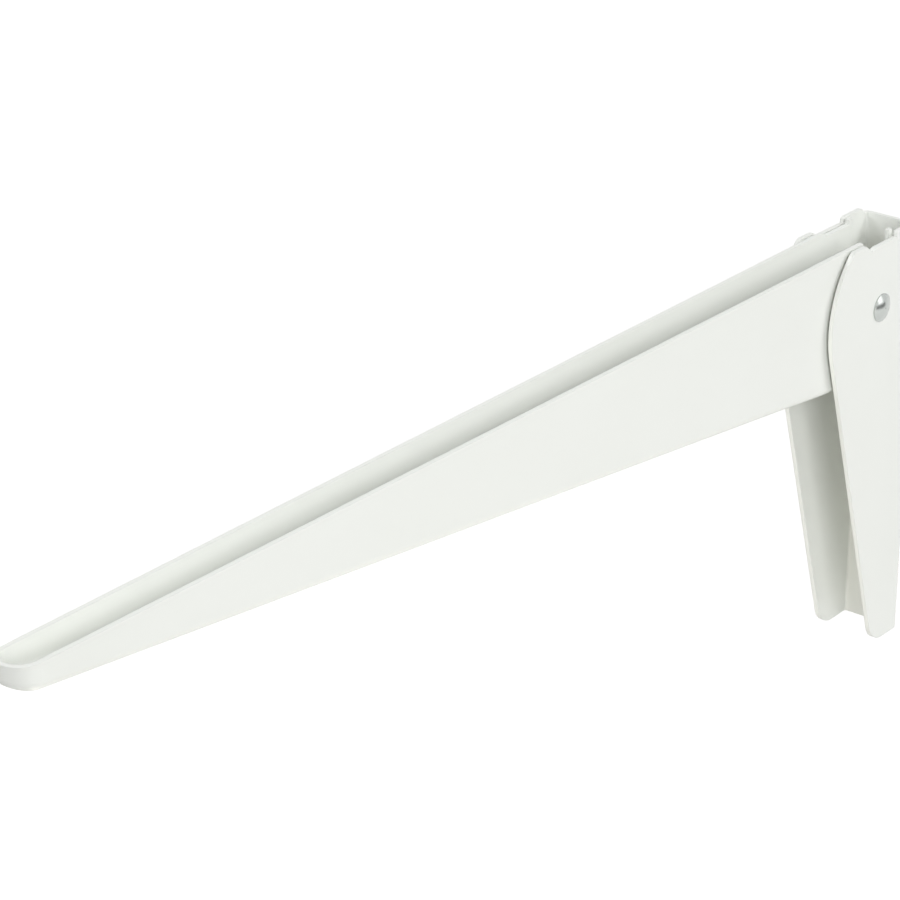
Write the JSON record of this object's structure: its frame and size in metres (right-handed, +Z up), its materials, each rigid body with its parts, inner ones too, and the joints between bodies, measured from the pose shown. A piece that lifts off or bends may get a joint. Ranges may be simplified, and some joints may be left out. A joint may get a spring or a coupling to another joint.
{
  "type": "folding shelf bracket",
  "caption": "Folding shelf bracket: a tapered trough arm with a rounded nose, riveted between the cheeks of a folded wall channel.",
  "frame": {"origin": "on the wall plane at the channel's back face, halfway across its width, level with the pivot", "axes": "+X out of the wall along the arm, +Y to the right for a person who faces the wall, +Z up"},
  "size_m": [0.4, 0.0245, 0.1474],
  "materials": {
    "white_powder_coat": "satin powder coat",
    "zinc_plated_steel": "bright zinc plate",
    "zinc_plated_washer": "dull zinc plate"
  },
  "bodies": {
    "wall_body": {"wall_channel": "white_powder_coat", "pivot_rivet": "zinc_plated_steel", "spacer_washer_right": "zinc_plated_washer", "spacer_washer_left": "zinc_plated_washer"},
    "arm_body": {"arm": "white_powder_coat"}
  },
  "joints": [
    {"name": "arm_fold", "type": "hinge", "parent": "wall_body", "child": "arm_body", "pos_m": [0.0229, 0, 0], "axis": [0, 1, 0], "range_deg": [0, 86]}
  ]
}
